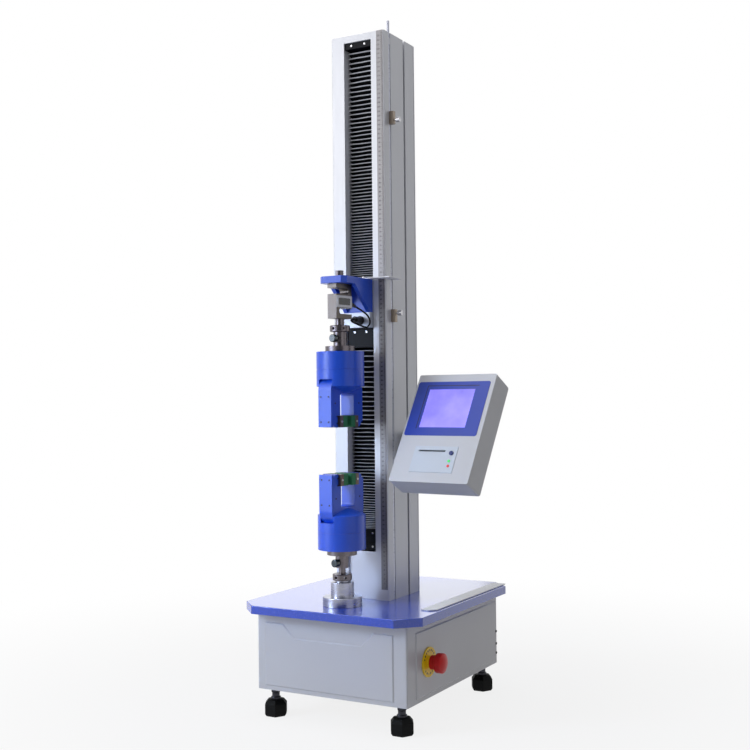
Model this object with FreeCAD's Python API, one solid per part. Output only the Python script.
import FreeCAD, Part
import math
import os

from FreeCAD import Placement, Rotation, Vector

# A single-column, table-top universal testing machine, in millimetres, +Z up.
# While it is built, x = 0 is the centre plane of the column, y = 0 the centre of the table (front is -Y)
# and z = 0 the floor. At the end every piece is moved so that the origin is the bottom centre of its box.

# ---------------------------------------------------------------- clearances
running = 0.05          # radial clearance of shafts, pins and pistons
gap = 0.3               # clearance between pieces that move past each other
slot_clearance = 0.6    # sideways clearance of soft or sheet pieces in the column
bolt_clearance = 0.5    # radial clearance of a bolt in its hole
pick = 1.0              # how near an edge has to lie to a level to be chosen for a fillet

# ---------------------------------------------------------------- feet
foot_height = 49.0
foot_base_diameter = 46.0
foot_barrel_diameter = 54.0
foot_across_flats = 47.0
foot_barrel_z = 22.0
foot_cone_z = 28.0
foot_top_diameter = 50.0
foot_neck_diameter = 22.0
foot_neck_z = 39.0
foot_inset = 28.0
stud_diameter = 12.0
stud_reach = 12.0       # above the cabinet's floor
lock_nut_across = 19.0
lock_nut_height = 8.0

# ---------------------------------------------------------------- cabinet and table
cabinet_bottom = 62.0
cabinet_height = 170.0
cabinet_width = 372.0
cabinet_front = -222.0
cabinet_back = 240.0
cabinet_wall = 3.0
cabinet_corner = 4.0
weld_nut_diameter = 24.0
weld_nut_height = 8.0
panel_proud = 2.0
panel_margin_z = 9.0
panel_top_drop = 22.0
front_panel_left = -166.0
front_panel_right = 155.0
notch_left = -119.0
notch_right = 107.0
notch_depth = 29.5
notch_slope = 30.0
side_panel_front = -184.0
side_panel_back = 228.0
rear_panel_width = 300.0
rear_panel_height = 120.0
rear_lap = 8.0
louvre_count = 9
louvre_length = 90.0
louvre_width = 4.0
louvre_pitch = 9.0
louvre_x = 60.0
inlet_width = 48.0
inlet_height = 28.0
inlet_depth = 26.0
inlet_flange = 5.0
inlet_x = -90.0
socket_width = 24.0
socket_height = 16.5
socket_depth = 17.0
blade_width = 2.0
blade_height = 4.0
blade_pitch = 7.0
table_width = 440.0
table_depth = 520.0
table_thickness = 18.0
table_clip = 44.0
table_edge = 1.0

# ---------------------------------------------------------------- column
column_front = -80.0
column_depth = 144.0
column_height = 1270.0
column_half = 68.0
recess_half = 35.0
profile_corner = 3.0
groove_front_y = -53.0
groove_back_y = 15.0
groove_mouth = 8.0
groove_lip = 7.5
groove_width = 16.0
groove_depth = 14.5
scale_width = 19.0
scale_thickness = 0.6
scale_bottom = 24.0
rear_cover_thickness = 3.0
top_plate_thickness = 16.0
lower_panel_height = 106.0
lower_panel_thickness = 2.0
sill_bottom = 109.0
sill_height = 46.0
sill_plate = 15.0
sill_depth = 40.0
sill_setback = 4.0
head_plate_thickness = 14.0
rail_width = 15.0
rail_height = 12.0
rail_y = 30.0
rail_end_margin = 25.0
rail_groove = 3.5
rail_land = 3.0

# ---------------------------------------------------------------- bellows
bellows_setback = 18.0
bellows_fold_depth = 14.0
bellows_sheet = 5.0
fold_pitch_large = 12.4
fold_pitch_small = 3.2
fold_pitch_upper = 11.4
fold_pitch_upper_small = 4.6

# ---------------------------------------------------------------- drive
screw_y = -8.0
screw_diameter = 16.0
screw_journal_diameter = 12.0
journal_depth = 12.0
nut_diameter = 32.0
pulley_flange = 2.0
pulley_flange_rim = 3.0
pulley_to_plate = 12.0
belt_width = 13.4
belt_thickness = 2.4
belt_tooth_pitch = 5.0
screw_pulley_teeth = 40
motor_pulley_teeth = 20
tooth_depth = 1.7
tooth_top_share = 0.29      # half a tooth's top, as a share of the pitch
tooth_root_share = 0.39     # half a tooth at its root
drive_centres = 140.0
drive_plate_thickness = 10.0
drive_plate_margin = 34.0
drive_plate_half = 60.0
pillar_diameter = 16.0
pillar_edge = 2.0
motor_size = 80.0
motor_corner = 10.0
motor_height = 96.0
motor_head_room = 8.0
motor_shaft_diameter = 14.0
motor_bore_depth = 30.0

# ---------------------------------------------------------------- crosshead
arm_half = 33.5
arm_front = -201.0
arm_corner = 9.5
arm_bottom = 698.0      # above the table, like every height of the crosshead
arm_thickness = 15.0
gusset_thickness = 10.0
gusset_front = -157.0
back_plate_bottom = 640.0
back_plate_thickness = 12.0
carriage_bottom = 606.0
carriage_back = -24.0
web_half = 10.5
web_back = 47.0
runner_length = 40.0
runner_width = 34.0
runner_reach = 20.0
bracket_drop = 44.0
bracket_sheet = 4.0
bracket_setback = 4.0
bracket_flange = 3.0
bracket_depth = 44.0
striker_thickness = 3.0
striker_front = -104.0
striker_lap = 22.0
striker_end_x = 90.0
striker_back = -45.0
striker_side_gap = 1.5

# ---------------------------------------------------------------- load string
load_axis_y = -167.0
string_turn = -10.0     # degrees about the load axis
cell_width = 25.4
cell_depth = 50.8
cell_height = 76.2
cell_slot = 13.0
cell_slot_z = 10.0
cell_web = 10.0
cell_cover_length = 50.0
cell_cover_height = 26.0
cell_cover_thickness = 1.5
cell_cover_z = 24.0
cell_cover_corner = 2.0
cell_bolt_diameter = 12.0
cell_bolt_head_diameter = 18.0
cell_bolt_head_height = 14.0
cell_bolt_depth = 8.0
stud_neck_diameter = 19.0
stud_neck_length = 14.5
ring_upper_diameter = 44.0
ring_upper_height = 13.9
ring_lower_diameter = 42.0
ring_lower_height = 13.6
tommy_count = 6
tommy_diameter = 6.5
tommy_depth = 6.0
ring_chamfer = 1.2
ring_lip = 2.3
adapter_diameter = 29.0
flange_diameter = 65.0
flange_thickness = 12.0
pin_diameter = 10.0
pin_above_flange = 17.0
pin_back_reach = 17.0
knob_diameter = 17.0
knob_front = 27.0
knob_length = 11.5
knob_corner = 1.5
grip_length = 164.0
upper_flange_bottom = 550.0
base_disc_diameter = 85.0
base_disc_height = 20.0
base_collar_diameter = 50.0
base_collar_height = 31.0
base_thread_diameter = 30.0
base_thread_show = 3.8
base_thread_end = 66.0
base_edge = 1.0
lower_neck_diameter = 15.0
lower_adapter_bottom = 82.0
lower_flange_bottom = 110.0

# ---------------------------------------------------------------- grips (w is the distance from the flange)
grip_radius = 52.0
drum_length = 75.0
drum_groove_w = 38.5
drum_groove_width = 1.5
drum_groove_depth = 1.0
yoke_half = 18.5
shoulder_w = 89.0
arm_outer = 47.0
cover_thickness = 5.0
cover_root_radius = 34.0
cover_straight_w = 86.0
ledge_w = 60.0
cover_end_w = 163.0
throat_half = 22.5
throat_w = 91.0
throat_corner = 6.0
pocket_half = 31.0
pocket_w = 138.5
mouth_corner = 12.0
jaw_half = 25.0
jaw_height = 25.0
holder_thickness = 10.0
pad_thickness = 14.0
pad_open = 6.0
jaw_stroke = 5.7
piston_diameter = 20.0
piston_reach = 15.5
port_radius = 4.3
port_length = 10.0
port_flat = 7.5
port_flat_depth = 2.0
port_w = 19.0

# ---------------------------------------------------------------- limit rod and stops
rod_diameter = 6.0
rod_x = 64.8
rod_top = 1297.0
rod_below_table = 14.0
rod_guide_height = 15.0
rod_guide_z = 1244.0
stop_proud = 11.0
stop_width = 11.0
stop_height = 28.4
stop_tongue = 7.2
stop_tongue_setback = 2.0
stop_corner = 1.5
stop_upper_bottom = 1062.6
stop_lower_bottom = 617.8
thumb_offset = 8.4
thumb_diameter = 4.0
thumb_tip_gap = 0.5     # the screws are loose, so that the stops can slide
thumb_knob_diameter = 10.0
thumb_knob_length = 6.0
thumb_knob_start = 8.0

# ---------------------------------------------------------------- emergency stop
estop_y = -129.0
estop_drop = 110.5
estop_disc_diameter = 63.0
estop_disc_thickness = 3.0
estop_barrel_diameter = 22.0
estop_collar_diameter = 26.0
estop_collar_end = 15.0
estop_block = 34.0
estop_block_depth = 30.0
estop_block_standoff = 4.0
estop_travel = 5.0
estop_neck_diameter = 30.0
estop_neck_start = 10.0
estop_head_start = 22.0
estop_head_diameter = 42.0
estop_head_end = 43.0
estop_stem_diameter = 10.0
estop_stem_depth = 8.0      # behind the cabinet's wall
estop_stem_room = 3.0       # left in the bore behind the pressed stem
estop_head_edge = 2.0
estop_crown = 6.0

# ---------------------------------------------------------------- display
display_width = 195.0
display_length = 261.0
display_depth = 67.0
display_yaw = -6.0
display_tilt = 30.0
display_corner_x = 113.0
display_corner_y = -161.0
display_corner_z = 272.0
display_edge = 4.0
display_rear_edge = 12.0
bezel_left = 4.0
bezel_bottom = 110.0
bezel_width = 181.0
bezel_height = 133.0
bezel_thickness = 2.0
bezel_proud = 0.8
bezel_corner = 5.0
screen_left = 37.0
screen_bottom = 130.0
screen_width = 115.0
screen_height = 94.0
screen_thickness = 1.2
printer_left = 44.0
printer_bottom = 22.6
printer_width = 107.0
printer_height = 62.0
printer_depth = 42.0
printer_wall = 4.0
door_thickness = 3.0
door_pin_diameter = 1.2
door_pin_reach = 2.5
paper_slot_width = 66.0
paper_slot_height = 4.0
paper_slot_up = 53.0
paper_slot_shift = 9.0      # to the left of the door's middle
button_u = 137.5
button_v = 68.7
button_diameter = 10.0
button_proud = 2.5
button_rim = 1.5
button_travel = 1.0
swivel_x = 100.0
swivel_y = 15.0
swivel_z = 340.0
swivel_pin_diameter = 12.0
swivel_barrel_diameter = 26.0
swivel_barrel_height = 40.0
lug_thickness = 8.0
bracket_plate = 8.0
bracket_plate_width = 50.0
arm_bar_thickness = 12.0
arm_bar_height = 20.0
arm_tongue_width = 36.0
tilt_standoff = 22.0
tilt_barrel_diameter = 22.0
tilt_barrel_length = 50.0
tilt_pin_diameter = 10.0
tilt_ear_thickness = 8.0
tilt_v = 130.0

# ---------------------------------------------------------------- load-cell cable
cable_diameter = 4.0
boot_diameter = 9.0
boot_tip_diameter = 5.4
boot_length = 19.0
gland_diameter = 12.0
gland_length = 4.0
gland_x = 4.0
gland_z = 35.0
plug_x = 8.0
plug_drop = 18.0
plug_diameter = 16.0
plug_length = 22.0
plug_flange_diameter = 20.0
plug_flange_thickness = 3.0
plug_tail_diameter = 9.0
plug_tail_length = 6.0
plug_tail_run = 8.0
bend_share = 0.45       # of the shorter run, taken by each arc

# ---------------------------------------------------------------- worked-out levels
table_top = cabinet_bottom + cabinet_height + table_thickness
table_bottom = table_top - table_thickness
column_back = column_front + column_depth
column_top = table_top + column_height
side_x = cabinet_width / 2
arm_top = arm_bottom + arm_thickness
head_bottom = table_top + carriage_bottom
cell_bottom = arm_bottom - cell_height
adapter_top_upper = cell_bottom - stud_neck_length - ring_upper_height - gap
upper_adapter_bottom = upper_flange_bottom + flange_thickness
motor_y = screw_y + drive_centres
pulley_width = belt_width + 2 * gap + 2 * pulley_flange
drive_plate_bottom = table_bottom - motor_head_room - motor_height - drive_plate_thickness
pulley_bottom = drive_plate_bottom - pulley_to_plate - pulley_width


def box(x0, x1, y0, y1, z0, z1):
    """A box between its low and high corners."""
    return Part.makeBox(x1 - x0, y1 - y0, z1 - z0, Vector(x0, y0, z0))


def rod(diameter, start, end):
    """A round bar from start to end."""
    line = Vector(*end) - Vector(*start)
    return Part.makeCylinder(diameter / 2, line.Length, Vector(*start), line)


def upright(diameter, x, y, z0, z1):
    """A round bar along Z."""
    return Part.makeCylinder(diameter / 2, z1 - z0, Vector(x, y, z0))


def polygon(points):
    """A flat face inside a closed run of straight edges."""
    return Part.Face(Part.makePolygon([Vector(*p) for p in points] + [Vector(*points[0])]))


def plan(points, z0, z1):
    """An outline in plan, raised from z0 to z1."""
    return polygon([(x, y, z0) for x, y in points]).extrude(Vector(0, 0, z1 - z0))


def side_profile(points, x0, x1):
    """An outline in side view (y, z), run across from x0 to x1."""
    return polygon([(x0, y, z) for y, z in points]).extrude(Vector(x1 - x0, 0, 0))


def front_profile(points, y0, y1):
    """An outline in front view (x, z), run back from y0 to y1."""
    return polygon([(x, y0, z) for x, z in points]).extrude(Vector(0, y1 - y0, 0))


def turned(points, x=0, y=0, z=0):
    """An outline of radius and height, turned about an upright axis."""
    shape = polygon([(r, 0, h) for r, h in points]).revolve(Vector(0, 0, 0), Vector(0, 0, 1), 360)
    return shape.translated(Vector(x, y, z))


def hexagon(across_flats, x, y, z0, z1):
    """A hexagonal bar along Z."""
    radius = across_flats / math.sqrt(3)
    corners = [(x + radius * math.cos(math.radians(60 * k)),
                y + radius * math.sin(math.radians(60 * k))) for k in range(6)]
    return plan(corners, z0, z1)


def rounded_along(shape, axis, radius, keep=lambda edge: True):
    """Fillets the straight edges of a shape that run along an axis."""
    found = []
    for edge in shape.Edges:
        if not isinstance(edge.Curve, Part.Line):
            continue
        if abs(edge.Curve.Direction.dot(axis)) > 0.999 and keep(edge):
            found.append(edge)
    return shape.makeFillet(radius, found)


X = Vector(1, 0, 0)
Y = Vector(0, 1, 0)
Z = Vector(0, 0, 1)


# ================================================================ feet, cabinet and table
def foot_places():
    """Where the four feet stand, under the cabinet's corners."""
    x = side_x - foot_inset
    front = cabinet_front + foot_inset
    back = cabinet_back - foot_inset
    return [(-x, front), (x, front), (-x, back), (x, back)]


def foot(x, y):
    """A levelling foot: hexagonal rubber barrel with a cone and neck, its stud and lock nut."""
    body = turned([(0, 0), (foot_base_diameter / 2, 0), (foot_barrel_diameter / 2, foot_barrel_z),
                   (foot_top_diameter / 2, foot_cone_z), (foot_neck_diameter / 2, foot_neck_z),
                   (foot_neck_diameter / 2, foot_height), (0, foot_height)], x, y)
    body = body.common(hexagon(foot_across_flats, x, y, 0, foot_height))
    stud_top = cabinet_bottom + cabinet_wall + stud_reach
    stud = upright(stud_diameter, x, y, foot_height, stud_top)
    nut_top = cabinet_bottom - gap
    nut = hexagon(lock_nut_across, x, y, nut_top - lock_nut_height, nut_top)
    return body.fuse([stud, nut]).removeSplitter()


def cabinet_shell():
    """The sheet cabinet: floor and four walls, open under the table and behind."""
    top = cabinet_bottom + cabinet_height
    shell = box(-side_x, side_x, cabinet_front, cabinet_back, cabinet_bottom, top)
    shell = rounded_along(shell, Z, cabinet_corner)
    inner = side_x - cabinet_wall
    shell = shell.cut(box(-inner, inner, cabinet_front + cabinet_wall, cabinet_back - cabinet_wall,
                          cabinet_bottom + cabinet_wall, top))
    floor = cabinet_bottom + cabinet_wall
    for x, y in foot_places():
        shell = shell.fuse(upright(weld_nut_diameter, x, y, floor, floor + weld_nut_height))
    for x, y in foot_places():
        shell = shell.cut(upright(stud_diameter + 2 * running, x, y, cabinet_bottom, top))
    window_half = rear_panel_width / 2 - rear_lap
    window_z = rear_panel_height / 2 - rear_lap
    centre_z = cabinet_bottom + cabinet_height / 2
    shell = shell.cut(box(-window_half, window_half, cabinet_back - cabinet_wall, cabinet_back,
                          centre_z - window_z, centre_z + window_z))
    return shell.cut(estop_bore()).removeSplitter()


def estop_bore():
    """The hole that the emergency stop's barrel passes through."""
    return across(estop_barrel_diameter + 2 * running, -2 * cabinet_wall, 2 * panel_proud)


def cabinet_panels():
    """The raised front panel with its notch, and the raised panel on each side."""
    low = cabinet_bottom + panel_margin_z
    high = cabinet_bottom + cabinet_height - panel_top_drop
    notch = high - notch_depth
    front = front_profile([(front_panel_left, low), (front_panel_right, low), (front_panel_right, high),
                           (notch_right, high), (notch_right - notch_slope, notch),
                           (notch_left + notch_slope, notch), (notch_left, high),
                           (front_panel_left, high)], cabinet_front - panel_proud, cabinet_front)
    right = box(side_x, side_x + panel_proud, side_panel_front, side_panel_back, low, high)
    left = box(-side_x - panel_proud, -side_x, side_panel_front, side_panel_back, low, high)
    return Part.makeCompound([front, right.cut(estop_bore()), left])


def rear_panel():
    """The rear plate over the cabinet's window, with louvres and the inlet's cut-out."""
    centre_z = cabinet_bottom + cabinet_height / 2
    plate = box(-rear_panel_width / 2, rear_panel_width / 2, cabinet_back, cabinet_back + panel_proud,
                centre_z - rear_panel_height / 2, centre_z + rear_panel_height / 2)
    first = centre_z - louvre_pitch * (louvre_count - 1) / 2
    for k in range(louvre_count):
        z = first + k * louvre_pitch
        plate = plate.cut(box(louvre_x - louvre_length / 2, louvre_x + louvre_length / 2, cabinet_back,
                              cabinet_back + panel_proud, z - louvre_width / 2, z + louvre_width / 2))
    return plate.cut(box(inlet_x - inlet_width / 2, inlet_x + inlet_width / 2, cabinet_back,
                         cabinet_back + panel_proud, centre_z - inlet_height / 2,
                         centre_z + inlet_height / 2))


def power_inlet():
    """The mains inlet: flanged body, socket and three blades."""
    z = cabinet_bottom + cabinet_height / 2
    face = cabinet_back + panel_proud
    half = inlet_width / 2
    tall = inlet_height / 2
    body = box(inlet_x - half, inlet_x + half, face - inlet_depth, face, z - tall, z + tall)
    body = body.fuse(box(inlet_x - half - inlet_flange, inlet_x + half + inlet_flange, face,
                         face + panel_proud, z - tall - inlet_flange, z + tall + inlet_flange))
    mouth = face + panel_proud
    body = body.cut(box(inlet_x - socket_width / 2, inlet_x + socket_width / 2, mouth - socket_depth, mouth,
                        z - socket_height / 2, z + socket_height / 2))
    for k in (-1, 0, 1):
        x = inlet_x + k * blade_pitch
        body = body.fuse(box(x - blade_width / 2, x + blade_width / 2, mouth - socket_depth,
                             mouth - 2 * panel_proud, z - blade_height / 2, z + blade_height / 2))
    return body.removeSplitter()


def table_plate():
    """The table, with clipped corners and holes for the ball screw and the limit rod."""
    x = table_width / 2
    y = table_depth / 2
    c = table_clip
    plate = plan([(-x + c, -y), (x - c, -y), (x, -y + c), (x, y - c), (x - c, y), (-x + c, y),
                  (-x, y - c), (-x, -y + c)], table_bottom, table_top)
    rim = [e for e in plate.Edges if abs(e.BoundBox.ZMin - table_top) < 1e-6]
    plate = plate.makeChamfer(table_edge, rim)
    plate = plate.cut(upright(screw_diameter + 2 * gap, 0, screw_y, table_bottom, table_top))
    return plate.cut(upright(rod_diameter + 2 * running, rod_x, groove_front_y, table_bottom, table_top))


# ================================================================ column
def t_groove(y):
    """The cutter for one T-groove along the outer face of the right profile."""
    mouth = box(column_half - groove_lip, column_half, y - groove_mouth / 2, y + groove_mouth / 2,
                table_top, column_top)
    chamber = box(column_half - groove_depth, column_half - groove_lip, y - groove_width / 2,
                  y + groove_width / 2, table_top, column_top)
    return mouth.fuse(chamber)


def column_profiles():
    """The two extruded profiles, and the guide block for the limit rod in the right one's groove."""
    right = box(recess_half, column_half, column_front, column_back, table_top, column_top)
    right = rounded_along(right, Z, profile_corner, lambda e: e.BoundBox.XMin > recess_half + pick)
    right = right.cut([t_groove(groove_front_y), t_groove(groove_back_y)])
    left = right.mirror(Vector(0, 0, 0), X)
    half = groove_mouth / 2
    low = table_top + rod_guide_z
    guide = box(column_half - groove_lip, column_half - gap, groove_front_y - half, groove_front_y + half,
                low, low + rod_guide_height)
    guide = guide.cut(upright(rod_diameter + 2 * running, rod_x, groove_front_y, low,
                              low + rod_guide_height))
    return Part.makeCompound([left, right, guide])


def column_covers():
    """The rear cover of the column and the short panel low in its front recess."""
    rear = box(-column_half, column_half, column_back, column_back + rear_cover_thickness, table_top,
               column_top)
    front_y = column_front + bracket_setback
    front = box(-recess_half, recess_half, front_y, front_y + lower_panel_thickness, table_top,
                table_top + lower_panel_height)
    return Part.makeCompound([rear, front])


def top_plate():
    """The bearing plate between the profiles' tops, with the ball screw's upper bearing."""
    plate = box(-recess_half, recess_half, column_front, column_back, column_top - top_plate_thickness,
                column_top)
    bottom = column_top - top_plate_thickness
    return plate.cut(upright(screw_journal_diameter + 2 * running, 0, screw_y, bottom,
                             bottom + journal_depth))


def bellows_plates():
    """The plates that hold the bellows' fixed ends: a sill of two plates and a spacer, and a head plate."""
    y0 = column_front + sill_setback
    y1 = y0 + sill_depth
    low = table_top + sill_bottom
    high = low + sill_height
    sill = box(-recess_half, recess_half, y0, y1, low, low + sill_plate)
    sill = sill.fuse(box(-recess_half, recess_half, y0, y1, high - sill_plate, high))
    spacer_front = y0 + bracket_flange
    sill = sill.fuse(box(-recess_half, recess_half, spacer_front, y1, low, high)).removeSplitter()
    under = column_top - top_plate_thickness
    head = box(-recess_half, recess_half, y0, y1, under - head_plate_thickness, under)
    return Part.makeCompound([sill, head])


def scale_strip():
    """The measuring strip on the right profile's front."""
    x = column_half - scale_width
    return box(x, column_half, column_front - scale_thickness, column_front, table_top + scale_bottom,
               column_top).cut(corner_relief())


def corner_relief():
    """The zone of the profile's rounded front corner, where the strip has no seat."""
    x = column_half - profile_corner
    return box(x, column_half, column_front - profile_corner, column_front, table_top, column_top)


def guide_rails():
    """Two linear rails on the inner faces of the profiles."""
    low = table_top + rail_end_margin
    high = column_top - top_plate_thickness - rail_end_margin
    half = rail_width / 2
    waist = rail_y - half + rail_groove
    outline = [(recess_half, rail_y - half), (recess_half - rail_land, rail_y - half),
               (recess_half - rail_height / 2, waist), (recess_half - rail_height + rail_land, rail_y - half),
               (recess_half - rail_height, rail_y - half), (recess_half - rail_height, rail_y + half),
               (recess_half - rail_height + rail_land, rail_y + half),
               (recess_half - rail_height / 2, rail_y + half - rail_groove),
               (recess_half - rail_land, rail_y + half), (recess_half, rail_y + half)]
    right = plan(outline, low, high)
    return Part.makeCompound([right, right.mirror(Vector(0, 0, 0), X)])


# ================================================================ bellows
def fold_heights(low, high, pitch_low, pitch_high):
    """Fold positions from low to high, with a pitch that changes evenly from one to the other."""
    count = round((high - low) / ((pitch_low + pitch_high) / 2))
    raw = [0.0]
    for k in range(count):
        share = (k + 0.5) / count
        raw.append(raw[-1] + pitch_low + (pitch_high - pitch_low) * share)
    stretch = (high - low) / raw[-1]
    return [low + stretch * r for r in raw]


def bellows(low, high, pitch_low, pitch_high):
    """A folded strip: a zigzag in side view, as wide as the recess allows."""
    ridge = column_front + bellows_setback
    valley = ridge + bellows_fold_depth
    levels = fold_heights(low, high, pitch_low, pitch_high)
    front = []
    back = []
    for k, z in enumerate(levels):
        front.append((valley, z))
        back.append((valley + bellows_sheet, z))
        if k + 1 < len(levels):
            middle = (z + levels[k + 1]) / 2
            front.append((ridge, middle))
            back.append((ridge + bellows_sheet, middle))
    half = recess_half - slot_clearance
    return side_profile(front + back[::-1], -half, half)


def upper_bellows():
    """The bellows from the striker up to the head plate."""
    low = table_top + arm_top + striker_thickness
    high = column_top - top_plate_thickness - head_plate_thickness
    return bellows(low, high, fold_pitch_upper_small, fold_pitch_upper)


def lower_bellows():
    """The bellows from the sill up to the bracket."""
    low = table_top + sill_bottom + sill_height
    high = head_bottom - bracket_drop
    return bellows(low, high, fold_pitch_small, fold_pitch_large)


# ================================================================ drive
def pulley_radius(teeth):
    """The pitch radius of a belt pulley."""
    return teeth * belt_tooth_pitch / (2 * math.pi)


def toothed_wheel(teeth, x, y, z0, z1):
    """A wheel with straight trapezoid teeth."""
    outer = pulley_radius(teeth)
    root = outer - tooth_depth
    step = 2 * math.pi / teeth
    outline = []
    for k in range(teeth):
        for share, radius in ((-tooth_top_share, outer), (tooth_top_share, outer),
                              (tooth_root_share, root), (1 - tooth_root_share, root)):
            angle = (k + share) * step
            outline.append((x + radius * math.cos(angle), y + radius * math.sin(angle)))
    return plan(outline, z0, z1)


def pulley(teeth, y):
    """A toothed belt pulley between two flanges."""
    z0 = pulley_bottom
    z1 = z0 + pulley_width
    rim = 2 * (pulley_radius(teeth) + belt_thickness + pulley_flange_rim)
    wheel = toothed_wheel(teeth, 0, y, z0 + pulley_flange, z1 - pulley_flange)
    return wheel.fuse([upright(rim, 0, y, z0, z0 + pulley_flange),
                       upright(rim, 0, y, z1 - pulley_flange, z1)])


def ball_screw():
    """The ball screw from its belt pulley to the journal in the top plate."""
    shoulder = column_top - top_plate_thickness - gap
    shaft = upright(screw_diameter, 0, screw_y, pulley_bottom, shoulder)
    journal = upright(screw_journal_diameter, 0, screw_y, shoulder, shoulder + journal_depth - gap)
    return shaft.fuse([journal, pulley(screw_pulley_teeth, screw_y)]).removeSplitter()


def motor_pulley():
    """The motor's pulley on its shaft."""
    shaft_top = drive_plate_bottom + drive_plate_thickness + motor_bore_depth - gap
    shaft = upright(motor_shaft_diameter, 0, motor_y, pulley_bottom, shaft_top)
    return shaft.fuse(pulley(motor_pulley_teeth, motor_y)).removeSplitter()


def drive_motor():
    """The motor, standing on the drive plate."""
    low = drive_plate_bottom + drive_plate_thickness
    half = motor_size / 2
    body = box(-half, half, motor_y - half, motor_y + half, low, low + motor_height)
    body = rounded_along(body, Z, motor_corner)
    return body.cut(upright(motor_shaft_diameter + 2 * running, 0, motor_y, low, low + motor_bore_depth))


def pillar_places():
    """Where the drive plate's four pillars stand: near its corners, clear of the motor."""
    inset = pillar_diameter / 2 + pillar_edge
    x = drive_plate_half - inset
    front = screw_y - drive_plate_margin + inset
    back = motor_y + motor_size / 2 + inset
    return [(-x, front), (x, front), (-x, back), (x, back)]


def drive_plate():
    """The plate under the table that carries the lower screw bearing and the motor, with its pillars."""
    top = drive_plate_bottom + drive_plate_thickness
    back = motor_y + motor_size / 2 + pillar_diameter + 2 * pillar_edge
    plate = box(-drive_plate_half, drive_plate_half, screw_y - drive_plate_margin, back,
                drive_plate_bottom, top)
    pillars = [upright(pillar_diameter, x, y, top, table_bottom) for x, y in pillar_places()]
    plate = plate.fuse(pillars)
    plate = plate.cut(upright(screw_diameter + 2 * running, 0, screw_y, drive_plate_bottom, top))
    return plate.cut(upright(motor_shaft_diameter + 2 * gap, 0, motor_y, drive_plate_bottom,
                             top)).removeSplitter()


def belt_loop(extra, z0, z1):
    """A closed band of the outline that hugs both pulleys at a given distance."""
    large = pulley_radius(screw_pulley_teeth) + extra
    small = pulley_radius(motor_pulley_teeth) + extra
    lean = math.asin((large - small) / drive_centres)
    c = math.cos(lean)
    s = math.sin(lean)
    lower = Vector(0, screw_y, z0)
    upper = Vector(0, motor_y, z0)
    right_lower = lower + Vector(large * c, large * s, 0)
    left_lower = lower + Vector(-large * c, large * s, 0)
    right_upper = upper + Vector(small * c, small * s, 0)
    left_upper = upper + Vector(-small * c, small * s, 0)
    edges = [Part.Arc(left_lower, lower + Vector(0, -large, 0), right_lower).toShape(),
             Part.LineSegment(right_lower, right_upper).toShape(),
             Part.Arc(right_upper, upper + Vector(0, small, 0), left_upper).toShape(),
             Part.LineSegment(left_upper, left_lower).toShape()]
    return Part.Face(Part.Wire(edges)).extrude(Vector(0, 0, z1 - z0))


def drive_belt():
    """The belt round both pulleys."""
    low = pulley_bottom + pulley_flange + gap
    high = low + belt_width
    return belt_loop(gap + belt_thickness, low, high).cut(belt_loop(gap, low, high))


# ================================================================ crosshead
def carriage():
    """The carriage with the ball nut's bore, and its four runner blocks on the rails."""
    low = head_bottom
    high = table_top + arm_top
    nose = table_top + back_plate_bottom
    body = box(-arm_half, arm_half, column_front, carriage_back, low, high)
    body = body.fuse(box(-arm_half, arm_half, column_front - back_plate_thickness, column_front, low, nose))
    body = body.fuse(upright(nut_diameter, 0, screw_y, low, high))
    body = body.fuse(box(-web_half, web_half, carriage_back, web_back, low, high))
    body = body.cut(upright(screw_diameter + 2 * running, 0, screw_y, low, high)).removeSplitter()
    runners = []
    for side in (-1, 1):
        for start in (low, high - runner_length):
            runners.append(runner(side, start))
    return Part.makeCompound([body] + runners)


def runner(side, low):
    """One runner block, round its rail with a running gap."""
    inner = web_half
    outer = recess_half - rail_height / 2 + gap
    block = box(inner, outer, rail_y - runner_width / 2, rail_y + runner_width / 2, low,
                low + runner_length)
    keep = rail_width / 2 + gap
    block = block.cut(box(recess_half - rail_height - gap, recess_half, rail_y - keep, rail_y + keep, low,
                          low + runner_length))
    if side < 0:
        block = block.mirror(Vector(0, 0, 0), X)
    return block


def crosshead_arm():
    """The blue arm: top plate with clipped corners, back plate, two gussets and the bolt hole."""
    low = table_top + arm_bottom
    high = table_top + arm_top
    h = arm_half
    c = arm_corner
    plate = plan([(-h + c, arm_front), (h - c, arm_front), (h, arm_front + c), (h, column_front),
                  (-h, column_front), (-h, arm_front + c)], low, high)
    back_y = column_front - back_plate_thickness
    foot_z = table_top + back_plate_bottom
    arm = plate.fuse(box(-h, h, back_y, column_front, foot_z, high))
    for x0 in (-h, h - gusset_thickness):
        arm = arm.fuse(side_profile([(gusset_front, low), (back_y, low), (back_y, foot_z)], x0,
                                    x0 + gusset_thickness))
    hole = upright(cell_bolt_diameter + 2 * bolt_clearance, 0, load_axis_y, low, high)
    return arm.cut(hole).removeSplitter()


def bellows_bracket():
    """The black bracket that carries the lower bellows' upper end under the carriage."""
    high = head_bottom
    low = high - bracket_drop
    front = column_front + bracket_setback
    h = arm_half
    plate = box(-h, h, front, front + bracket_sheet, low, high)
    plate = plate.fuse(box(-h, h, front, front + bracket_depth, low, low + bracket_flange))
    for x0 in (-h, h - bracket_flange):
        plate = plate.fuse(box(x0, x0 + bracket_flange, front, front + bracket_depth, low, high))
    return plate.removeSplitter()


def striker_plate():
    """The L-shaped striker on the arm that reaches round the column to the limit stops."""
    z0 = table_top + arm_top
    side = column_half + striker_side_gap
    back_y = striker_front + striker_lap
    return plan([(-arm_half, striker_front), (striker_end_x, striker_front), (striker_end_x, striker_back),
                 (side, striker_back), (side, back_y), (-arm_half, back_y)], z0, z0 + striker_thickness)


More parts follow.
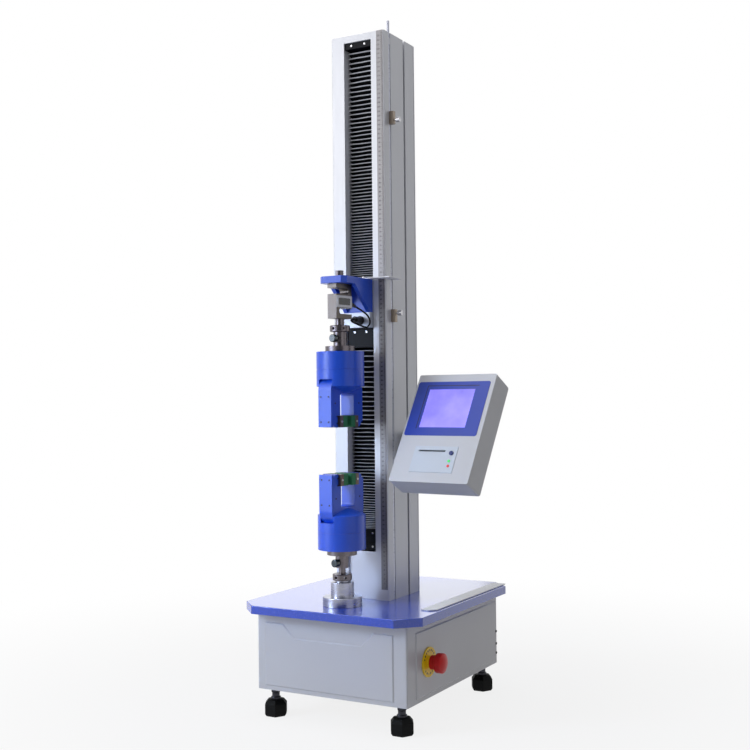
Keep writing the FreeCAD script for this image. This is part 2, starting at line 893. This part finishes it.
# ================================================================ load string
def on_axis(shape):
    """Puts a piece drawn about x = y = 0 on the load axis, turned with the load string."""
    placed = shape.copy()
    placed.rotate(Vector(0, 0, 0), Z, string_turn)
    placed.translate(Vector(0, load_axis_y, table_top))
    return placed


def load_cell():
    """The S-shaped load cell, slotted from the front above and from the rear below."""
    x = cell_width / 2
    y = cell_depth / 2
    body = box(-x, x, -y, y, cell_bottom, cell_bottom + cell_height)
    upper = cell_bottom + cell_height - cell_slot_z - cell_slot
    lower = cell_bottom + cell_slot_z
    for low, way in ((upper, 1), (lower, -1)):
        end = y - cell_web - cell_slot / 2
        slot = box(-x, x, -y, end, low, low + cell_slot)
        slot = slot.fuse(rod(cell_slot, (-x, end, low + cell_slot / 2), (x, end, low + cell_slot / 2)))
        if way < 0:
            slot = slot.mirror(Vector(0, 0, 0), Y)
        body = body.cut(slot)
    bolt_end = cell_bottom + cell_height - cell_bolt_depth
    body = body.cut(upright(cell_bolt_diameter, 0, 0, bolt_end, cell_bottom + cell_height))
    return on_axis(body.removeSplitter())


def load_cell_cover():
    """The thin cover over the gauges, on the cell's side."""
    x = cell_width / 2
    half = cell_cover_length / 2
    low = cell_bottom + cell_cover_z
    cover = box(x, x + cell_cover_thickness, -half, half, low, low + cell_cover_height)
    return on_axis(rounded_along(cover, X, cell_cover_corner))


def cross_pin_bore(z):
    """The cutter for a cross pin's bore through an adapter."""
    reach = flange_diameter / 2
    return rod(pin_diameter + 2 * running, (0, -reach, z), (0, reach, z))


def upper_adapter():
    """The stud and flanged adapter over the upper grip, and the bolt through the arm into the cell."""
    flange = upright(flange_diameter, 0, 0, upper_flange_bottom, upper_adapter_bottom)
    barrel = upright(adapter_diameter, 0, 0, upper_adapter_bottom, adapter_top_upper)
    neck = upright(stud_neck_diameter, 0, 0, adapter_top_upper, cell_bottom)
    body = flange.fuse([barrel, neck])
    body = body.cut(cross_pin_bore(upper_adapter_bottom + pin_above_flange)).removeSplitter()
    bolt = upright(cell_bolt_diameter, 0, 0, cell_bottom + cell_height - cell_bolt_depth, arm_top)
    head = upright(cell_bolt_head_diameter, 0, 0, arm_top, arm_top + cell_bolt_head_height)
    return Part.makeCompound([on_axis(body), on_axis(bolt.fuse(head).removeSplitter())])


def lower_adapter():
    """The flanged adapter under the lower grip, on its neck."""
    flange = upright(flange_diameter, 0, 0, lower_flange_bottom, lower_flange_bottom + flange_thickness)
    barrel = upright(adapter_diameter, 0, 0, lower_adapter_bottom, lower_flange_bottom)
    neck = upright(lower_neck_diameter, 0, 0, base_thread_end, lower_adapter_bottom)
    body = flange.fuse([barrel, neck])
    return on_axis(body.cut(cross_pin_bore(lower_flange_bottom - pin_above_flange)).removeSplitter())


def base_mount():
    """The disc and collar on the table, with the threaded end for the lower lock ring."""
    collar_top = base_disc_height + base_collar_height
    disc = base_disc_diameter / 2
    collar = base_collar_diameter / 2
    thread = base_thread_diameter / 2
    body = turned([(0, 0), (disc, 0), (disc, base_disc_height - base_edge),
                   (disc - base_edge, base_disc_height), (collar, base_disc_height),
                   (collar, collar_top - base_edge), (collar - base_edge, collar_top),
                   (thread, collar_top), (thread, base_thread_end), (0, base_thread_end)])
    return on_axis(body)


def lock_ring(diameter, low, height, bore_low, bore_high):
    """A round nut with tommy holes; a lip at its top narrows the bore where bore_high is less."""
    outer = diameter / 2
    c = ring_chamfer
    outline = [(bore_low, low), (outer - c, low), (outer, low + c), (outer, low + height - c),
               (outer - c, low + height), (bore_high, low + height)]
    if bore_high < bore_low:
        step = low + height - ring_lip
        outline += [(bore_high, step), (bore_low, step)]
    ring = turned(outline)
    middle = low + height / 2
    for k in range(tommy_count):
        angle = math.radians(360 / tommy_count * k + 90)
        way = Vector(math.cos(angle), math.sin(angle), 0)
        start = way * (outer - tommy_depth) + Vector(0, 0, middle)
        ring = ring.cut(Part.makeCylinder(tommy_diameter / 2, 2 * tommy_depth, start, way))
    return on_axis(ring)


def upper_lock_ring():
    """The plain lock ring under the load cell."""
    bore = stud_neck_diameter / 2 + running
    return lock_ring(ring_upper_diameter, adapter_top_upper + gap, ring_upper_height, bore, bore)


def lower_lock_ring():
    """The lipped lock ring on the base mount's thread, round the adapter's neck."""
    low = base_disc_height + base_collar_height + base_thread_show
    return lock_ring(ring_lower_diameter, low, ring_lower_height, base_thread_diameter / 2 + running,
                     lower_neck_diameter / 2 + 2 * running)


def cross_pin(z):
    """A cross pin with its round knob towards the front."""
    pin = rod(pin_diameter, (0, -knob_front + knob_length, z), (0, pin_back_reach, z))
    knob = rod(knob_diameter, (0, -knob_front, z), (0, -knob_front + knob_length, z))
    edges = [e for e in knob.Edges if isinstance(e.Curve, Part.Circle)]
    knob = knob.makeFillet(knob_corner, edges)
    return on_axis(pin.fuse(knob).removeSplitter())


# ================================================================ grips
def placed_grip(shape, upper):
    """Sets a grip piece, drawn with its flange face at height 0, on the lower flange or under the upper."""
    if upper:
        piece = shape.copy()
        piece.rotate(Vector(0, 0, 0), Y, 180)
        piece.translate(Vector(0, 0, upper_flange_bottom))
        return on_axis(piece)
    return on_axis(shape.translated(Vector(0, 0, lower_flange_bottom + flange_thickness)))


def root_curve(radius, outer, end_w):
    """The side view of a cover's surface: straight from end_w to the root, then an arc in to the ledge."""
    centre_y = arm_outer + cover_thickness - cover_root_radius
    run = cover_straight_w - ledge_w
    foot_y = centre_y + math.sqrt(radius ** 2 - run ** 2)
    half_angle = math.asin(run / radius) / 2
    middle = Vector(0, centre_y + radius * math.cos(half_angle),
                    cover_straight_w - radius * math.sin(half_angle))
    foot_point = Vector(0, foot_y, ledge_w)
    top_point = Vector(0, outer, cover_straight_w)
    arc = Part.Arc(foot_point, middle, top_point).toShape()
    end = Vector(0, outer, end_w)
    return foot_point, arc, top_point, end


def cover_shape(end_w):
    """A cover plate: flat along the arm, its root curved inwards down to the ledge."""
    outer = arm_outer + cover_thickness
    low_out, arc_out, top_out, end_out = root_curve(cover_root_radius, outer, end_w)
    low_in, arc_in, top_in, end_in = root_curve(cover_root_radius - cover_thickness, arm_outer, end_w)
    edges = [arc_out, Part.LineSegment(top_out, end_out).toShape(),
             Part.LineSegment(end_out, end_in).toShape(), Part.LineSegment(end_in, top_in).toShape(),
             arc_in, Part.LineSegment(low_in, low_out).toShape()]
    face = Part.Face(Part.Wire(Part.__sortEdges__(edges)))
    face.translate(Vector(-yoke_half, 0, 0))
    return face.extrude(Vector(2 * yoke_half, 0, 0))


def cover_seat():
    """The cutter that makes room for one cover plate in the drum and on the arm."""
    far = grip_radius + cover_thickness
    beyond = grip_length + cover_thickness
    low, arc, top, end = root_curve(cover_root_radius - cover_thickness, arm_outer, beyond)
    corner_high = Vector(0, far, beyond)
    corner_low = Vector(0, far, ledge_w)
    edges = [arc, Part.LineSegment(top, end).toShape(), Part.LineSegment(end, corner_high).toShape(),
             Part.LineSegment(corner_high, corner_low).toShape(), Part.LineSegment(corner_low, low).toShape()]
    face = Part.Face(Part.Wire(Part.__sortEdges__(edges)))
    face.translate(Vector(-yoke_half, 0, 0))
    return face.extrude(Vector(2 * yoke_half, 0, 0))


def jaw_w():
    """The jaws' height above the flange, in the middle of their pocket."""
    return (pocket_w + grip_length) / 2


def air_port(side):
    """The cutter for the air port: a spot face and a threaded hole from one side of the drum."""
    face = grip_radius - port_flat_depth
    flat = rod(2 * port_flat, (-side * face, 0, port_w), (-side * 2 * grip_radius, 0, port_w))
    hole = rod(2 * port_radius, (-side * (face - port_length), 0, port_w), (-side * face, 0, port_w))
    return flat.fuse(hole)


def grip_body(upper):
    """A grip's body: grooved drum, conical shoulder and a yoke with throat, jaw pocket and cylinders."""
    r = grip_radius
    groove = drum_groove_width / 2
    inner = r - drum_groove_depth
    drum = turned([(0, 0), (r, 0), (r, drum_groove_w - groove), (inner, drum_groove_w - groove),
                   (inner, drum_groove_w + groove), (r, drum_groove_w + groove), (r, drum_length),
                   (yoke_half, shoulder_w), (0, shoulder_w)])
    yoke = box(-yoke_half, yoke_half, -arm_outer, arm_outer, ledge_w, grip_length)
    yoke = rounded_along(yoke, X, mouth_corner, lambda e: e.BoundBox.ZMin > grip_length - pick)
    body = drum.fuse(yoke)
    seat = cover_seat()
    body = body.cut([seat, seat.mirror(Vector(0, 0, 0), Y)])
    throat = box(-r, r, -throat_half, throat_half, throat_w, pocket_w + throat_corner)
    throat = rounded_along(throat, X, throat_corner, lambda e: e.BoundBox.ZMax < throat_w + pick)
    pocket = box(-r, r, -pocket_half, pocket_half, pocket_w, grip_length)
    body = body.cut([throat, pocket])
    bore = piston_diameter + 2 * running
    body = body.cut(rod(bore, (0, -arm_outer, jaw_w()), (0, arm_outer, jaw_w())))
    return placed_grip(body.cut(air_port(-1 if upper else 1)).removeSplitter(), upper)


def grip_covers(upper):
    """The two cover plates of a grip, front and rear."""
    front = cover_shape(cover_end_w).mirror(Vector(0, 0, 0), Y)
    rear = cover_shape(grip_length - mouth_corner)
    return placed_grip(Part.makeCompound([front, rear]), upper)


def jaw(side, upper):
    """A jaw: holder with its piston rod, and the ribbed pad; side -1 is the front one."""
    w = jaw_w()
    back = pad_open + pad_thickness + holder_thickness
    low = w - jaw_height / 2
    high = w + jaw_height / 2
    holder = box(-jaw_half, jaw_half, pad_open + pad_thickness, back, low, high)
    holder = holder.fuse(rod(piston_diameter, (0, back, w), (0, back + piston_reach, w))).removeSplitter()
    pad = box(-jaw_half, jaw_half, pad_open, pad_open + pad_thickness, low, high)
    both = Part.makeCompound([holder, pad])
    if side < 0:
        both = both.mirror(Vector(0, 0, 0), Y)
    return placed_grip(both, upper)


# ================================================================ limit rod and stops
def limit_rod():
    """The rod that the stops are clamped to, from the table up to its guide block."""
    return upright(rod_diameter, rod_x, groove_front_y, table_bottom - rod_below_table, table_top + rod_top)


def stop_block(bottom, thumb_z):
    """A stop block on the limit rod, its tongue in the column's groove."""
    low = table_top + bottom
    high = low + stop_height
    tongue_x = column_half - groove_lip + gap
    body = box(column_half + gap, column_half + stop_proud, groove_front_y - stop_width / 2,
               groove_front_y + stop_width / 2, low, high)
    body = rounded_along(body, Z, stop_corner, lambda e: e.BoundBox.XMin > column_half + pick)
    body = body.fuse(box(tongue_x, column_half + stop_proud - stop_tongue_setback,
                         groove_front_y - stop_tongue / 2, groove_front_y + stop_tongue / 2, low, high))
    body = body.cut(upright(rod_diameter + 2 * running, rod_x, groove_front_y, low, high))
    start = rod_x + rod_diameter / 2
    bore = thumb_diameter + 2 * running
    return body.cut(rod(bore, (start, groove_front_y, thumb_z), (column_half + stop_proud, groove_front_y,
                                                               thumb_z))).removeSplitter()


def thumb_screw(z):
    """A loosened thumb screw, whose tip stands just off the rod."""
    tip = rod_x + rod_diameter / 2 + thumb_tip_gap
    face = column_half + stop_proud
    shank = rod(thumb_diameter, (tip, groove_front_y, z), (face + thumb_knob_start, groove_front_y, z))
    knob = rod(thumb_knob_diameter, (face + thumb_knob_start, groove_front_y, z),
               (face + thumb_knob_start + thumb_knob_length, groove_front_y, z))
    return shank.fuse(knob).removeSplitter()


def upper_thumb_z():
    """The upper thumb screw's height, near its block's foot."""
    return table_top + stop_upper_bottom + thumb_offset


def lower_thumb_z():
    """The lower thumb screw's height, near its block's head."""
    return table_top + stop_lower_bottom + stop_height - thumb_offset


# ================================================================ emergency stop
def estop_z():
    """The emergency stop's height."""
    return table_top - estop_drop


def across(diameter, start, end):
    """A round bar along X at the emergency stop, from its distance to the cabinet's side face."""
    z = estop_z()
    return rod(diameter, (side_x + start, estop_y, z), (side_x + end, estop_y, z))


def estop_plate():
    """The yellow disc with its collar and barrel, and the contact block inside the wall."""
    seat = panel_proud
    disc = across(estop_disc_diameter, seat, seat + estop_disc_thickness)
    collar = across(estop_collar_diameter, seat, estop_collar_end)
    barrel = across(estop_barrel_diameter, -cabinet_wall - estop_block_standoff, seat)
    inner = side_x - cabinet_wall - estop_block_standoff
    half = estop_block / 2
    z = estop_z()
    block = box(inner - estop_block_depth, inner, estop_y - half, estop_y + half, z - half, z + half)
    body = disc.fuse([collar, barrel, block])
    bore_end = estop_stem_depth + estop_travel + estop_stem_room
    bore = across(estop_stem_diameter + 2 * running, -cabinet_wall - bore_end, estop_collar_end)
    return body.cut(bore).removeSplitter()


def estop_stem():
    """The red neck with its skirt over the collar and the stem in the barrel."""
    neck = across(estop_neck_diameter, estop_neck_start, estop_head_start)
    room_end = estop_collar_end + estop_travel + gap
    room = across(estop_collar_diameter + 2 * gap, estop_neck_start, room_end)
    stem = across(estop_stem_diameter, -cabinet_wall - estop_stem_depth, estop_head_start)
    return neck.cut(room).fuse(stem).removeSplitter()


def estop_head():
    """The red mushroom head."""
    r = estop_head_diameter / 2
    length = estop_head_end - estop_head_start
    crown_start = length - estop_crown
    sphere = (r * r + estop_crown * estop_crown) / (2 * estop_crown)
    head = turned([(0, 0), (r - estop_head_edge, 0), (r, estop_head_edge), (r, crown_start),
                   (0, crown_start)])
    cap = Part.makeSphere(sphere, Vector(0, 0, length - sphere))
    cap = cap.common(Part.makeCylinder(r, estop_crown, Vector(0, 0, crown_start)))
    head = head.fuse(cap).removeSplitter()
    head.rotate(Vector(0, 0, 0), Y, 90)
    head.translate(Vector(side_x + estop_head_start + running, estop_y, estop_z()))
    return head


# ================================================================ display
def display_place():
    """The placement of the display: u across, v up its face, w back from its face."""
    turn = Rotation(Z, display_yaw).multiply(Rotation(X, -display_tilt))
    corner = Vector(display_corner_x, display_corner_y, table_top + display_corner_z)
    return Placement(corner, turn)


def on_display(shape):
    """Moves a piece drawn with x across, z up the face and y back into the display's place."""
    moved = shape.copy()
    moved.Placement = display_place().multiply(moved.Placement)
    return moved


def display_point(u, w, v):
    """A point of the display, given across, back and up."""
    return display_place().multVec(Vector(u, w, v))


def door_half_thickness():
    """Half the thickness of the printer's door."""
    return (door_thickness - gap + bezel_proud) / 2


def door_hinge_place():
    """The printer door's hinge line, in the middle of its foot: back from the display's face, and up."""
    return door_half_thickness() - bezel_proud, printer_bottom + gap + door_half_thickness()


def door_hinge(diameter, reach):
    """A round bar on the printer door's hinge line, which reaches past both of the door's ends."""
    back, up = door_hinge_place()
    return rod(diameter, (printer_left + gap - reach, back, up),
               (printer_left + printer_width - gap + reach, back, up))


def display_housing():
    """The display's box, with its face recess, printer compartment, cover edges and tilt ears."""
    body = box(0, display_width, 0, display_depth, 0, display_length)
    body = rounded_along(body, Y, display_edge)
    rear = [e for e in body.Edges
            if e.BoundBox.YMin > display_depth - pick and e.Length > display_rear_edge]
    body = body.makeFillet(display_rear_edge, rear)
    depth = bezel_thickness - bezel_proud
    bezel = box(bezel_left, bezel_left + bezel_width, 0, depth, bezel_bottom, bezel_bottom + bezel_height)
    body = body.cut(rounded_along(bezel, Y, bezel_corner))
    door = box(printer_left, printer_left + printer_width, 0, door_thickness, printer_bottom,
               printer_bottom + printer_height)
    w = printer_wall
    room = box(printer_left + w, printer_left + printer_width - w, 0, printer_depth, printer_bottom + w,
               printer_bottom + printer_height - w)
    body = body.cut([door, room, door_hinge(door_pin_diameter + 2 * running, door_pin_reach + gap)])
    ears = []
    middle = display_width / 2
    inner = tilt_barrel_length / 2 + gap
    pin_y = display_depth + tilt_standoff
    for side in (-1, 1):
        x0 = middle + side * inner
        x1 = x0 + side * tilt_ear_thickness
        low_x = min(x0, x1)
        high_x = max(x0, x1)
        plate = box(low_x, high_x, display_depth, pin_y, tilt_v - tilt_barrel_diameter / 2,
                    tilt_v + tilt_barrel_diameter / 2)
        ears.append(plate.fuse(rod(tilt_barrel_diameter, (low_x, pin_y, tilt_v), (high_x, pin_y, tilt_v))))
    pin = rod(tilt_pin_diameter, (middle - inner, pin_y, tilt_v), (middle + inner, pin_y, tilt_v))
    return on_display(body.fuse(ears + [pin]).removeSplitter())


def display_bezel():
    """The bezel plate in the face's recess, with the screen's window."""
    front = -bezel_proud
    plate = box(bezel_left, bezel_left + bezel_width, front, front + bezel_thickness, bezel_bottom,
                bezel_bottom + bezel_height)
    plate = rounded_along(plate, Y, bezel_corner)
    window = box(screen_left, screen_left + screen_width, front, front + bezel_thickness, screen_bottom,
                 screen_bottom + screen_height)
    return on_display(plate.cut(window))


def display_screen():
    """The screen, seated behind the bezel's face in its window."""
    back = bezel_thickness - bezel_proud
    return on_display(box(screen_left, screen_left + screen_width, back - screen_thickness, back,
                          screen_bottom, screen_bottom + screen_height))


def printer_door():
    """The printer's door: rounded foot with hinge pins, paper slot and the feed button's hole."""
    g = gap
    back, up = door_hinge_place()
    door = box(printer_left + g, printer_left + printer_width - g, -bezel_proud, door_thickness - g,
               up, printer_bottom + printer_height - g)
    door = door.fuse([door_hinge(2 * door_half_thickness(), 0),
                      door_hinge(door_pin_diameter, door_pin_reach)]).removeSplitter()
    slot_left = printer_left + (printer_width - paper_slot_width) / 2 - paper_slot_shift
    slot_low = printer_bottom + paper_slot_up - paper_slot_height
    door = door.cut(box(slot_left, slot_left + paper_slot_width, -bezel_proud, door_thickness, slot_low,
                        slot_low + paper_slot_height))
    door = door.cut(rod(button_diameter + 2 * running, (button_u, -bezel_proud, button_v),
                        (button_u, door_thickness, button_v)))
    return on_display(door)


def feed_button():
    """The paper feed button in the door."""
    shoulder = door_thickness + button_travel
    body = rod(button_diameter, (button_u, -bezel_proud - button_proud, button_v),
               (button_u, shoulder, button_v))
    rim = rod(button_diameter + 2 * button_rim, (button_u, shoulder, button_v),
              (button_u, shoulder + button_rim, button_v))
    return on_display(body.fuse(rim).removeSplitter())


def display_bracket():
    """The bracket in the column's rear groove: plate, two lugs and the swivel pin."""
    z = table_top + swivel_z
    half = swivel_barrel_height / 2 + gap
    tall = half + lug_thickness
    width = bracket_plate_width / 2
    plate = box(column_half, column_half + bracket_plate, swivel_y - width, swivel_y + width, z - tall,
                z + tall)
    for z0 in (z - tall, z + half):
        lug = box(column_half, swivel_x, swivel_y - swivel_barrel_diameter / 2,
                  swivel_y + swivel_barrel_diameter / 2, z0, z0 + lug_thickness)
        plate = plate.fuse(lug.fuse(upright(swivel_barrel_diameter, swivel_x, swivel_y, z0,
                                            z0 + lug_thickness)))
    pin = upright(swivel_pin_diameter, swivel_x, swivel_y, z - tall, z + tall)
    return plate.fuse(pin).removeSplitter()


def display_arm():
    """The elbow arm from the swivel barrel to the tilt barrel behind the display."""
    z = table_top + swivel_z
    half = swivel_barrel_height / 2
    swivel = upright(swivel_barrel_diameter, swivel_x, swivel_y, z - half, z + half)
    start = display_point(display_width / 2 - tilt_barrel_length / 2, display_depth + tilt_standoff, tilt_v)
    end = display_point(display_width / 2 + tilt_barrel_length / 2, display_depth + tilt_standoff, tilt_v)
    tilt = (start + end) / 2
    barrel = rod(tilt_barrel_diameter, tuple(start), tuple(end))
    wide = arm_tongue_width / 2
    thick = arm_bar_thickness / 2
    outline = [(swivel_x, swivel_y - thick), (tilt.x - wide - arm_bar_thickness, swivel_y - thick),
               (tilt.x - wide, swivel_y - thick - arm_bar_thickness), (tilt.x - wide, tilt.y),
               (tilt.x + wide, tilt.y), (tilt.x + wide, swivel_y + thick), (swivel_x, swivel_y + thick)]
    bar = plan(outline, tilt.z - arm_bar_height / 2, tilt.z + arm_bar_height / 2)
    arm = swivel.fuse([bar, barrel])
    arm = arm.cut(upright(swivel_pin_diameter + 2 * running, swivel_x, swivel_y, z - half, z + half))
    return arm.cut(rod(tilt_pin_diameter + 2 * running, tuple(start), tuple(end))).removeSplitter()


# ================================================================ load-cell cable
def cell_point(x, y, z):
    """A point given beside the load cell, in the machine's axes."""
    return Rotation(Z, string_turn).multVec(Vector(x, y, 0)) + Vector(0, load_axis_y, table_top + z)


cable_route = [(16.6, -112.0, 646.6), (23.0, -104.5, 640.5), (30.5, -99.5, 633.0), (36.0, -98.0, 623.5),
               (38.0, -101.0, 613.5), (38.0, -109.0, 606.5), (37.5, -119.5, 604.5), (36.0, -130.5, 606.0),
               (30.5, -139.5, 609.5), (21.0, -143.5, 614.0), (12.0, -139.5, 619.0)]


def route_points():
    """The cable's corners, from the boot's tip to the plug's tail."""
    points = [Vector(x, y, table_top + z) for x, y, z in cable_route]
    tail = plug_tail()
    return [boot_tip()] + points + [tail - Vector(0, plug_tail_run, 0), tail]


def boot_seat():
    """Where the boot starts, on the gland."""
    return cell_point(gland_x, cell_depth / 2 + gland_length, cell_bottom + gland_z)


def boot_tip():
    """The boot's tip, on the line to the cable's first corner."""
    x, y, z = cable_route[0]
    way = Vector(x, y, table_top + z) - boot_seat()
    return boot_seat() + way.normalize() * boot_length


def plug_level():
    """The plug's height on the carriage."""
    return table_top + back_plate_bottom - plug_drop


def plug_face_y():
    """The carriage's front face, which the plug is screwed to."""
    return column_front - back_plate_thickness


def plug_tail():
    """The end of the plug's tail, where the cable goes in."""
    reach = plug_flange_thickness + plug_length + plug_tail_length
    return Vector(plug_x, plug_face_y() - reach, plug_level())


def bent_path(points):
    """Straight runs joined by tangent arcs; prints the arcs' radii."""
    edges = []
    radii = []
    here = points[0]
    for before, corner, after in zip(points, points[1:], points[2:]):
        back = before - corner
        ahead = after - corner
        shorter = min(back.Length, ahead.Length)
        turn = math.pi - back.getAngle(ahead)
        reach = bend_share * shorter
        radii.append(reach / math.tan(turn / 2))
        back = back.normalize()
        ahead = ahead.normalize()
        start = corner + back * reach
        end = corner + ahead * reach
        inward = (back + ahead).normalize()
        depth = radii[-1] / math.cos(turn / 2) - radii[-1]
        edges.append(Part.LineSegment(here, start).toShape())
        edges.append(Part.Arc(start, corner + inward * depth, end).toShape())
        here = end
    edges.append(Part.LineSegment(here, points[-1]).toShape())
    print("cable radii", [round(r, 1) for r in radii])
    return Part.Wire(edges)


def cell_cable():
    """The load cell's cable: a loose loop from the boot to the plug."""
    points = route_points()
    path = bent_path(points)
    ring = Part.makeCircle(cable_diameter / 2, points[0], points[1] - points[0])
    tube = path.makePipeShell([Part.Wire(ring)], True, False, 2)
    section = math.pi * cable_diameter ** 2 / 4
    print("cable length", round(path.Length, 1), "volume share",
          round(tube.Volume / (section * path.Length), 4))
    return tube


def cable_ends():
    """The gland and tapered boot on the cell, and the round plug on the carriage's face."""
    seat = cell_point(gland_x, cell_depth / 2, cell_bottom + gland_z)
    out = boot_seat()
    gland = Part.makeCylinder(gland_diameter / 2, gland_length, seat, out - seat)
    tip = boot_tip()
    boot = Part.makeCone(boot_diameter / 2, boot_tip_diameter / 2, (tip - out).Length, out, tip - out)
    joint = Part.makeSphere(boot_diameter / 2, out)
    joint = joint.cut(Part.makeCylinder(gland_diameter, gland_diameter, out, seat - out))
    y = plug_face_y()
    z = plug_level()
    plug = rod(plug_flange_diameter, (plug_x, y, z), (plug_x, y - plug_flange_thickness, z))
    barrel_end = y - plug_flange_thickness - plug_length
    plug = plug.fuse(rod(plug_diameter, (plug_x, y - plug_flange_thickness, z), (plug_x, barrel_end, z)))
    tail = plug_tail()
    plug = plug.fuse(rod(plug_tail_diameter, (plug_x, barrel_end, z), tuple(tail)))
    return Part.makeCompound([gland.fuse([boot, joint]).removeSplitter(), plug.removeSplitter()])


# ================================================================ all pieces
def pieces():
    """Every piece of the machine by its name."""
    parts = {
        "cabinet_shell": cabinet_shell(),
        "cabinet_panels": cabinet_panels(),
        "rear_panel": rear_panel(),
        "power_inlet": power_inlet(),
        "table_top": table_plate(),
        "column_profiles": column_profiles(),
        "column_covers": column_covers(),
        "top_plate": top_plate(),
        "bellows_plates": bellows_plates(),
        "scale_strip": scale_strip(),
        "guide_rails": guide_rails(),
        "upper_bellows": upper_bellows(),
        "lower_bellows": lower_bellows(),
        "drive_plate": drive_plate(),
        "drive_motor": drive_motor(),
        "drive_belt": drive_belt(),
        "ball_screw": ball_screw(),
        "motor_pulley": motor_pulley(),
        "base_mount": base_mount(),
        "lower_adapter": lower_adapter(),
        "lower_lock_ring": lower_lock_ring(),
        "upper_lock_ring": upper_lock_ring(),
        "upper_adapter": upper_adapter(),
        "lower_pin": cross_pin(lower_flange_bottom - pin_above_flange),
        "upper_pin": cross_pin(upper_adapter_bottom + pin_above_flange),
        "carriage": carriage(),
        "crosshead_arm": crosshead_arm(),
        "bellows_bracket": bellows_bracket(),
        "striker_plate": striker_plate(),
        "load_cell": load_cell(),
        "load_cell_cover": load_cell_cover(),
        "cell_cable": cell_cable(),
        "cable_ends": cable_ends(),
        "limit_rod": limit_rod(),
        "upper_stop": stop_block(stop_upper_bottom, upper_thumb_z()),
        "lower_stop": stop_block(stop_lower_bottom, lower_thumb_z()),
        "upper_stop_screw": thumb_screw(upper_thumb_z()),
        "lower_stop_screw": thumb_screw(lower_thumb_z()),
        "estop_plate": estop_plate(),
        "estop_stem": estop_stem(),
        "estop_head": estop_head(),
        "display_bracket": display_bracket(),
        "display_arm": display_arm(),
        "display_housing": display_housing(),
        "display_bezel": display_bezel(),
        "display_screen": display_screen(),
        "printer_door": printer_door(),
        "feed_button": feed_button(),
    }
    for name, upper in (("lower", False), ("upper", True)):
        parts[name + "_grip_body"] = grip_body(upper)
        parts[name + "_grip_covers"] = grip_covers(upper)
        parts[name + "_front_jaw"] = jaw(-1, upper)
        parts[name + "_rear_jaw"] = jaw(1, upper)
    for k, (x, y) in enumerate(foot_places()):
        parts["foot_" + str(k + 1)] = foot(x, y)
    return parts


def main():
    """Builds the pieces, moves them to the origin and writes one file for each."""
    parts = pieces()
    whole = Part.makeCompound(list(parts.values())).optimalBoundingBox()
    shift = Vector(-(whole.XMin + whole.XMax) / 2, -(whole.YMin + whole.YMax) / 2, -whole.ZMin)
    print("origin shift", round(shift.x, 4), round(shift.y, 4), round(shift.z, 4))
    os.makedirs("parts", exist_ok=True)
    for name, shape in parts.items():
        shape.translated(shift).exportStep("parts/" + name + ".step")
    print(len(parts), "pieces")


main()
